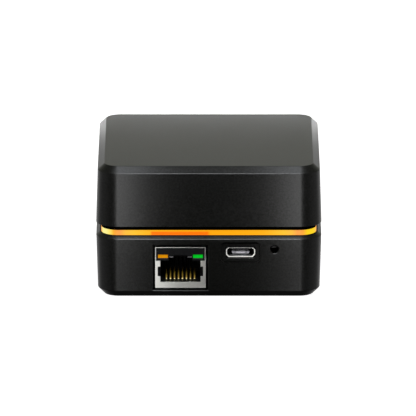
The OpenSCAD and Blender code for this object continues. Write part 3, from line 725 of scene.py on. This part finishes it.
# the record's material slots
materials = {
    "shell": shell_material(),
    "ring": ring_material(),
    "shield": shield_material(),
    "gold": contact_material(),
    "tongue": tongue_material(),
    "board": board_material(),
    "amber_lens": lens("lens_amber", (216, 140, 0), (200, 126, 0)),
    "green_lens": lens("lens_green", (0, 196, 38), (0, 178, 28)),
    "foot_rubber": plastic("rubber_foot", (30, 30, 31), (18, 18, 19), rough=(0.7, 0.85), grain=0.4,
                           depth=0.02),
    "label": plastic("label_film", (74, 74, 77), (58, 58, 61), rough=(0.45, 0.55), grain=0.5,
                     depth=0.004),
    "black_plastic": plastic("socket_plastic", (10, 10, 11), (5, 5, 6), rough=(0.45, 0.6), level=0.13,
                             drift_size=3.0),
    # painted shade: the reset plunger is painted dark grey for the shade of the pinhole it sits in
    "button": plastic("button_painted_shade", (38, 38, 38), (26, 26, 26)),
    "chip": plastic("chip_epoxy", (46, 46, 48), (28, 28, 30), rough=(0.5, 0.7), grain=0.12),
    "pad": plastic("thermal_pad", (196, 199, 208), (176, 180, 190), rough=(0.6, 0.8), grain=0.6,
                   depth=0.03),
    "pin_nylon": plastic("nylon", (236, 233, 220), (214, 210, 195)),
    "ferrite": plastic("ferrite", (84, 84, 88), (58, 58, 62), rough=(0.5, 0.65), grain=0.15,
                       depth=0.02),
    "cap_yellow": plastic("tantalum_case", (208, 186, 100), (186, 160, 74)),
    "cap_tan": plastic("ceramic_case", (190, 164, 132), (160, 134, 102), grain=0.1),
    "led_white": plastic("lamp_case", (244, 240, 214), (226, 218, 176), grain=0.2),
    "antenna": plastic("antenna_film", (178, 138, 58), (150, 110, 40), rough=(0.3, 0.45), grain=0.8),
    "cable": plastic("cable_jacket", (52, 52, 54), (34, 34, 36), rough=(0.45, 0.6)),
    "screw_steel": metal("screw_zinc", (200, 200, 204), (150, 150, 156)),
    "tin": metal("tin_plate", (205, 205, 206), (165, 165, 168), rough=(0.3, 0.45)),
    "ballast": metal("ballast_steel", (150, 152, 156), (96, 98, 102), rough=(0.35, 0.5), grain=0.3,
                     stretch=(6, 1, 1)),
    "sink": metal("sink_aluminium", (214, 217, 222), (170, 174, 180), rough=(0.3, 0.45), grain=0.2,
                  stretch=(1, 6, 1)),
}


def dress(obj, slot):
    """Puts a material slot's material on every face of an object."""
    if not obj.material_slots:
        obj.data.materials.append(materials[slot])
    for holder in obj.material_slots:
        holder.material = materials[slot]


def stand_in(obj, slot, node):
    """A finished piece that rides on the case and stands for a CAD node."""
    dress(obj, slot)
    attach(obj, "case")
    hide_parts(node)
    return obj


for part in frame["record"]["subparts"]:
    dress(frame["nodes"][part["node"]], part["material_slot"])


# ---- Cover, light ring and base ----

def make_cover():
    """The upper shell, with a boss and a pilot hole for each case screw."""
    cover = square_loft("cover", [
        cap(top_z),
        (roof_half - EDGE_CHAMFER, top_z, BODY_CENTRE, 0.3),
        (roof_half, cover_rim_z + EDGE_SHIFT, BODY_CENTRE, 0.45),
        (seam_half, cover_z, BODY_CENTRE, 0.15),
        (lip_half, cover_z, LIP_CENTRE, 0),
        (lip_half, lip_z, LIP_CENTRE, 0.05),
        (cover_cavity_half(lip_z), lip_z, CAVITY_CENTRE, 0),
        (cover_cavity_half(roof_z), roof_z, CAVITY_CENTRE, 0),
        cap(roof_z),
    ])
    sunk = 0.5      # how far the bosses reach into the roof
    bosses = [lathe("boss", x, y, [(board_top, BOSS_R), (roof_z + sunk, BOSS_R)]) for x, y in posts]
    combine(cover, [joined("bosses", bosses)], "UNION")
    pilots = [
        lathe("pilot", x, y, [(board_top - REACH, PILOT_R), (board_top + PILOT_H, PILOT_R)])
        for x, y in posts
    ]
    combine(cover, [joined("pilots", pilots)], "DIFFERENCE")
    return stand_in(shade(cover), "shell", "top_cover")


def make_ring():
    """The light guide. Its glow isn't seen in the shells round it."""
    ring = square_loft("glow_ring", [
        (ring_half - RING_STEP, ring_z, BODY_CENTRE, 0),
        (ring_half, ring_z, BODY_CENTRE, 0.12),
        (ring_half, lip_z, BODY_CENTRE, 0.12),
        (TONGUE_HALF, lip_z, CAVITY_CENTRE, 0),
        (TONGUE_HALF, ring_high.z, CAVITY_CENTRE, 0.2),
        (RING_INNER_HALF, ring_high.z, BODY_CENTRE, 0.2),
        (RING_INNER_HALF, ring_low.z, BODY_CENTRE, 0.2),
        (TONGUE_HALF, ring_low.z, CAVITY_CENTRE, 0.2),
        (TONGUE_HALF, ring_z, CAVITY_CENTRE, 0),
    ], closed=True)
    ring.visible_diffuse = False
    ring.visible_glossy = False
    return stand_in(shade(ring), "ring", "light_ring")


def base_posts():
    """The posts for the case screws, the board's screws and the ballast plate, as one mesh."""
    sunk = 0.5      # how far up from the underside they start
    kinds = [(posts, POST_R, board_z), (BOARD_POSTS, BOARD_POST_R, board_z),
             (STUDS, STUD_R, base_z + STUD_TOP)]
    return joined("posts", [
        lathe("post", x, y, [(base_z + sunk, r), (top, r)]) for places, r, top in kinds for x, y in places
    ])


def base_drills():
    """The feet's pockets and the screw holes, as one mesh."""
    case_drill = [
        (base_z - REACH, FOOT_POCKET_R), (base_z + FOOT_POCKET_TOP, FOOT_POCKET_R),
        (base_z + FOOT_POCKET_TOP, HEAD_POCKET_R), (base_z + HEAD_POCKET_TOP, HEAD_POCKET_R),
        (base_z + HEAD_POCKET_TOP, SCREW_HOLE_R), (board_z + REACH, SCREW_HOLE_R),
    ]
    board_drill = [(board_z - SMALL_PILOT_H, SMALL_PILOT_R), (board_z + REACH, SMALL_PILOT_R)]
    stud_drill = [(floor_z, SMALL_PILOT_R), (base_z + STUD_TOP + REACH, SMALL_PILOT_R)]
    kinds = [(posts, case_drill), (BOARD_POSTS, board_drill), (STUDS, stud_drill)]
    return joined("drills", [lathe("drill", x, y, steps) for places, steps in kinds for x, y in places])


def label_cutter():
    outline = rounded_outline(LABEL_HALF_X, LABEL_HALF_Y, LABEL_R)
    return upright_loft("label_cutter", 0.0, 0.0, [
        (base_z - REACH, outline), (base_z + LABEL_DEPTH, outline),
    ])


def lan_cutter():
    """The network socket's window, with a bevel round its front edge."""
    half = lan_half + LAN_GAP
    low, high = lan_low.z - LAN_GAP, board_z + LAN_GAP
    out = 0.7       # how far the bevel's slope runs on in front of the wall
    return front_loft("lan_cutter", lan_x, 0.0, [
        (lambda z: wall_y(z) - out, rectangle(-half, half, low, high, LAN_BEVEL + out)),
        (lambda z: wall_y(z) + LAN_BEVEL, rectangle(-half, half, low, high)),
        (-seam_half + WINDOW_DEPTH, rectangle(-half, half, low, high)),
    ])


def pocket_cutter():
    """The shallow pocket round the power socket."""
    outline = rounded_outline(POCKET_HALF_X, POCKET_HALF_Z, POCKET_R)
    return front_loft("pocket_cutter", usb_x, pocket_z, [
        (-seam_half - REACH, outline), (-seam_half + POCKET_DEPTH, outline),
    ])


def usb_cutter():
    """The power socket's window, with a slope under the socket."""
    def outline(under):
        high, low = USB_H / 2 + USB_GAP, -USB_H / 2 - under
        return socket_outline(usb_w + 2 * USB_GAP, high - low, (high + low) / 2)
    return front_loft("usb_cutter", usb_x, usb_z, [
        (-seam_half + depth, outline(under)) for depth, under in USB_SLOPE
    ])


def pinhole_cutter():
    """The reset pinhole, with a bevel at its mouth."""
    out = 0.5       # how far the bevel's slope runs on in front of the wall
    return front_loft("pinhole_cutter", pin_x, pin_z, [
        (wall_y(pin_z) - out, circle(PINHOLE_R + PINHOLE_BEVEL + out)),
        (wall_y(pin_z) + PINHOLE_BEVEL, circle(PINHOLE_R)),
        (-seam_half + WINDOW_DEPTH, circle(PINHOLE_R)),
    ])


def make_base():
    """The lower shell, with its posts, its screw holes and the windows in its front."""
    base = square_loft("base", [
        cap(floor_z),
        (base_cavity_half(floor_z), floor_z, CAVITY_CENTRE, 0.3),
        (base_cavity_half(ring_z), ring_z, CAVITY_CENTRE, 0),
        (seam_half - SEAM_CHAMFER, ring_z, BODY_CENTRE, 0.12),
        (seam_half, base_rim_z + EDGE_SHIFT, BODY_CENTRE, 0.4),
        (foot_half, base_wall_z, BODY_CENTRE, 0.4),
        (foot_half - EDGE_CHAMFER, base_z, BODY_CENTRE, 0.3),
        cap(base_z),
    ])
    combine(base, [base_posts()], "UNION")
    combine(base, [
        base_drills(), label_cutter(), lan_cutter(), pocket_cutter(), usb_cutter(), pinhole_cutter(),
    ], "DIFFERENCE")
    return stand_in(shade(base), "shell", "base_shell")


make_cover()
make_ring()
base = make_base()


# ---- Sockets ----

def make_network_shield():
    """The network socket's case, whose edges round the lamps look thinner than its sheet."""
    opening = rectangle(-lan_half + SIDE_STRIP, lan_half - SIDE_STRIP,
                        lan_low.z + LAMP_BAND, board_z - TOP_STRIP)
    cutter = front_loft("strip_cutter", lan_x, 0.0, [(lan_y - REACH, opening), (lan_y + 1.2, opening)])
    shield = combine(softened("ethernet_shield", "network_shield", 0.06), [cutter], "DIFFERENCE")
    return stand_in(shade(shield, 35), "shield", "ethernet_shield")


def make_power_shell():
    """The power socket's drawn metal shell: a thin body behind a flared rim."""
    body_w, body_h, wall = 8.16, 2.85, 0.28
    drop = board_z - body_h / 2 - usb_z     # from the rim's middle to the body's
    flare_y = usb_y + 0.6
    lower = 0.06                            # how much lower the rim's top is than in the CAD
    rim_w, rim_h = usb_w - 0.12, USB_H - lower
    side, above, under = 0.27, 0.07, 0.33   # widths of the rim, from the front
    outside = front_loft("power_shell", usb_x, usb_z, [
        (usb_y, socket_outline(rim_w, rim_h, -lower / 2)),
        (flare_y, socket_outline(body_w, body_h, drop)),
        (usb_high.y, socket_outline(body_w, body_h, drop)),
    ])
    rim = socket_outline(rim_w - 2 * side, rim_h - above - under, (under - above - lower) / 2)
    bore = socket_outline(body_w - 2 * wall, body_h - 2 * wall, drop)
    mouth = front_loft("power_mouth", usb_x, usb_z, [
        (usb_y - 0.1, rim), (usb_y, rim), (flare_y, bore), (usb_high.y - wall, bore),
    ])
    return stand_in(shade(combine(outside, [mouth], "DIFFERENCE"), 20), "shield", "usb_shell")


def make_softened(node, name, width, slot):
    return stand_in(softened(node, name, width), slot, node)


network_shield = make_network_shield()
power_shell = make_power_shell()
power_tongue = make_softened("usb_tongue", "power_tongue", 0.04, "tongue")
network_contacts = make_softened("ethernet_contacts", "network_contacts", 0.05, "gold")
make_softened("ethernet_housing", "network_plastic", 0.05, "black_plastic")
metal_pieces = [network_shield, power_shell, power_tongue, network_contacts]


# ---- Floor and surroundings ----

GROUND_HALF, GROUND_T = 2600.0, 2.0

# Brightness of the surroundings: in front, at the sides, and behind below and above the horizon
WORLD_FRONT, WORLD_SIDE, WORLD_REAR_LOW, WORLD_REAR_HIGH = 0.0, 0.38, 0.9, 0.47
# What is left of it straight below and overhead, and its tint over the horizon
WORLD_BELOW, WORLD_ABOVE = 0.1, 0.45
WORLD_GREEN, WORLD_BLUE = 1.025, 0.87


def make_floor():
    """The ground. Only the camera sees it, so it lights nothing and takes no shadow."""
    outline = [(side_x * GROUND_HALF, side_y * GROUND_HALF) for side_x, side_y in QUARTERS]
    floor = upright_loft("floor", 0.0, 0.0, [(-GROUND_T, outline), (0.0, outline)])
    floor.data.materials.append(floor_material())
    floor.visible_glossy = False
    floor.visible_diffuse = False
    floor.visible_shadow = False


def make_world():
    """White to the camera. To the object: dim in front, darker straight below, brighter around."""
    world = bpy.data.worlds.new("studio")
    scene.world = world
    world.use_nodes = True
    tree = world.node_tree
    tree.nodes.clear()

    def add(kind, inputs=None, **settings):
        return add_node(tree, kind, inputs, **settings)

    def span(value, start, end, low, high):
        return add("ShaderNodeMapRange", {
            "Value": value, "From Min": start, "From Max": end, "To Min": low, "To Max": high,
        }, interpolation_type="SMOOTHSTEP").outputs[0]

    def work_out(operation, a, b):
        return add("ShaderNodeMath", {0: a, 1: b}, operation=operation).outputs[0]

    towards = add("ShaderNodeSeparateXYZ", {0: add("ShaderNodeTexCoord").outputs["Generated"]})
    depth, height = towards.outputs["Y"], towards.outputs["Z"]
    front = span(depth, -1.0, -0.2, WORLD_FRONT, WORLD_SIDE)
    rear_gain = span(height, -0.15, 0.15, WORLD_REAR_LOW - WORLD_SIDE, WORLD_REAR_HIGH - WORLD_SIDE)
    rear = span(depth, 0.3, 0.9, 0.0, rear_gain)
    below = span(height, -0.9, -0.35, WORLD_BELOW, 1.0)
    above = span(height, 0.32, 0.6, 1.0, WORLD_ABOVE)
    level = work_out("MULTIPLY", work_out("ADD", front, rear), work_out("MULTIPLY", above, below))
    green = work_out("MULTIPLY", level, span(height, 0.05, 0.25, 1.0, WORLD_GREEN))
    blue = work_out("MULTIPLY", level, span(height, 0.05, 0.25, 1.0, WORLD_BLUE))
    tinted = add("ShaderNodeCombineColor", {"Red": level, "Green": green, "Blue": blue})
    fill = add("ShaderNodeBackground", {"Color": tinted.outputs[0]})
    backdrop = add("ShaderNodeBackground", {"Color": (1.0, 1.0, 1.0, 1.0)})
    seen = add("ShaderNodeLightPath").outputs["Is Camera Ray"]
    pick = add("ShaderNodeMixShader", {0: seen, 1: fill.outputs[0], 2: backdrop.outputs[0]})
    add("ShaderNodeOutputWorld", {"Surface": pick.outputs[0]})


make_floor()
make_world()


# ---- Lights ----

WHITE = (1.0, 1.0, 1.0)
COOL = (0.96, 0.99, 1.03)
FRONT_Y = -75.0
# Bands beside the middle: where each starts and ends, and how bright it is above and below
FRONT_BANDS = [(25, 30, 6.2, 1.3), (30, 35.6, 6.6, 3.3)]
# Bands over the front: where each starts and ends, and how bright it is
OVER_BANDS = [(20, 27, 4.4), (27, 34, 7.2), (34, 42, 1.4)]
SEEN_TOP = 42.925        # the middle of the strip that the top face mirrors, over its rear edge


def soft_light(name, place, aim, width, height, brightness, colour=WHITE, only=()):
    """A rectangular light. brightness is the light that its face gives off, so it doesn't depend
    on the size. It lights everything, or the objects in only."""
    data = bpy.data.lights.new(name, "AREA")
    data.shape = "RECTANGLE"
    data.size, data.size_y = width * MM, height * MM
    data.energy = brightness * math.pi * data.size * data.size_y
    data.color = colour
    obj = bpy.data.objects.new(name, data)
    scene.collection.objects.link(obj)
    obj.location = Vector(place) * MM
    obj.rotation_mode = "QUATERNION"
    obj.rotation_quaternion = (Vector(aim) - Vector(place)).to_track_quat("-Z", "Y")
    obj.visible_camera = False
    if only:
        lit = bpy.data.collections.new(name + "_lights")
        for piece in only:
            lit.objects.link(piece)
        obj.light_linking.receiver_collection = lit


def front_panel(name, x_span, z_span, brightness, y=FRONT_Y, only=()):
    """A light that stands upright in front of the object and faces it squarely."""
    x, z = sum(x_span) / 2, sum(z_span) / 2
    width, height = x_span[1] - x_span[0], z_span[1] - z_span[0]
    soft_light(name, (x, y, z), (x, 0, z), width, height, brightness, only=only)


def side_lights(side):
    """The lights that draw the bright stripes down one side's round corners and chamfers."""
    for part, (inner, outer, high, low) in enumerate(FRONT_BANDS):
        x_span = sorted((side * inner, side * outer))
        front_panel(f"front_high_{side}_{part}", x_span, (10, 50), high)
        front_panel(f"front_low_{side}_{part}", x_span, (-45, 10), low)
    for part, (inner, outer, brightness) in enumerate(OVER_BANDS):
        x = side * (inner + outer) / 2
        soft_light(f"over_{side}_{part}", (x, -52, 95), (x, -34, 30), outer - inner, 50, brightness, COOL)
    soft_light(f"over_mid_{side}", (side * 31, -90, 75), (side * 31, -34, 20), 24, 40, 2.6, COOL)
    soft_light(f"over_base_mid_{side}", (side * 30, -86, 72), (side * 30, -34, 20), 24, 40, 5.0,
               COOL, [base])
    soft_light(f"over_base_{side}", (side * 29, -52, 93), (side * 29, -34, 20), 16, 50, 3.0,
               COOL, [base])
    soft_light(f"rear_side_{side}", (side * 42.5, 62, 38), (side * 42.5, 0, 42), 7, 16, 2.6)


for side in (-1, 1):
    side_lights(side)
soft_light("key", (0, -148, 165), (0, -34, 30), 76, 40, 35.0, COOL)
soft_light("rear_card", (0, 62, SEEN_TOP), (0, 0, SEEN_TOP), 78, 1.85, 38.0)
front_panel("metal_side", (-56, -20), (-35, 25), 1.95, only=metal_pieces)
front_panel("metal_fill", (-40, 40), (-30, 30), 0.1, only=metal_pieces)
# metal mirrors only the nearest of the lights, so this one stands in front of the others
front_panel("power_fill", (usb_x - 30, usb_x + 30), (-16, 24), 0.55, y=-70.0, only=[power_shell])


# ---- Camera ----

ELEVATION = math.radians(15.0)
DISTANCE = 2672.0
SENSOR_W, LENS = 36.0, 736.7
AIM_LEFT, AIM_DOWN = 0.25, 0.84     # how far the aim is from the middle of the object's box
CLIP_NEAR, CLIP_FAR = 0.05, 50.0    # metres


def make_camera():
    """A long lens, a little above the object and straight in front of it."""
    back = Vector((0, -math.cos(ELEVATION), math.sin(ELEVATION)))
    up = Vector((0, math.sin(ELEVATION), math.cos(ELEVATION)))
    aim = (cad_low + cad_high) / 2 - Vector((AIM_LEFT, 0, 0)) * MM - up * AIM_DOWN * MM
    data = bpy.data.cameras.new("camera")
    data.sensor_width = SENSOR_W
    data.lens = LENS
    data.clip_start, data.clip_end = CLIP_NEAR, CLIP_FAR
    camera = bpy.data.objects.new("camera", data)
    scene.collection.objects.link(camera)
    scene.camera = camera
    camera.rotation_mode = "QUATERNION"
    camera.location = aim + back * DISTANCE * MM
    camera.rotation_quaternion = (-back).to_track_quat("-Z", "Y")


make_camera()
scene.view_settings.view_transform = "Standard"
